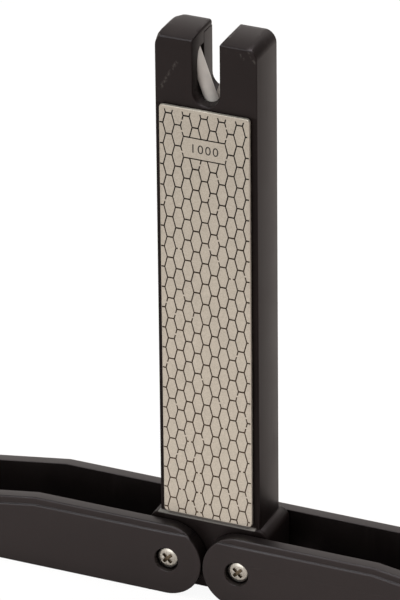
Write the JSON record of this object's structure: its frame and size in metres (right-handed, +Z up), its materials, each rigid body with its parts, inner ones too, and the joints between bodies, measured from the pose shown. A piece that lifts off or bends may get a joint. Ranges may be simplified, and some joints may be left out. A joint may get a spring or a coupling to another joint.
{
  "type": "folding diamond sharpener",
  "caption": "Pocket sharpener: a flat paddle with a diamond plate on each face and a V notch of crossed ceramic bars at its tip, hinged to a pair of channel handles that fold over it.",
  "frame": {"origin": "on the floor under the middle of the paddle, halfway between the two pivots", "axes": "+X towards the right handle's tip, +Y towards the rear face, +Z up along the paddle"},
  "size_m": [0.2836, 0.0228, 0.1375],
  "materials": {
    "black_plastic": "satin black moulding",
    "diamond_plate": "nickel-bonded diamond grit with dark cell lines",
    "adhesive": "thin bonding foam",
    "ceramic": "unglazed off-white ceramic",
    "nickel": "nickel-plated steel",
    "nylon": "dark nylon"
  },
  "bodies": {
    "paddle": {"paddle_body": "black_plastic", "notch_retainer": "black_plastic", "front_diamond_plate": "diamond_plate", "rear_diamond_plate": "diamond_plate", "front_adhesive_pad": "adhesive", "rear_adhesive_pad": "adhesive", "left_ceramic_bar": "ceramic", "right_ceramic_bar": "ceramic", "left_pivot_bush": "nickel", "right_pivot_bush": "nickel", "left_front_washer": "nylon", "left_rear_washer": "nylon", "right_front_washer": "nylon", "right_rear_washer": "nylon"},
    "left_grip": {"left_handle": "black_plastic", "left_pivot_screw": "nickel", "left_pivot_nut": "nickel"},
    "right_grip": {"right_handle": "black_plastic", "right_pivot_screw": "nickel", "right_pivot_nut": "nickel"}
  },
  "joints": [
    {"name": "left_handle_fold", "type": "hinge", "parent": "paddle", "child": "left_grip", "pos_m": [-0.00865, 0, 0.0085], "axis": [0, 1, 0], "range_deg": [-90, 90]},
    {"name": "right_handle_fold", "type": "hinge", "parent": "paddle", "child": "right_grip", "pos_m": [0.00865, 0, 0.0085], "axis": [0, 1, 0], "range_deg": [-90, 90]}
  ]
}
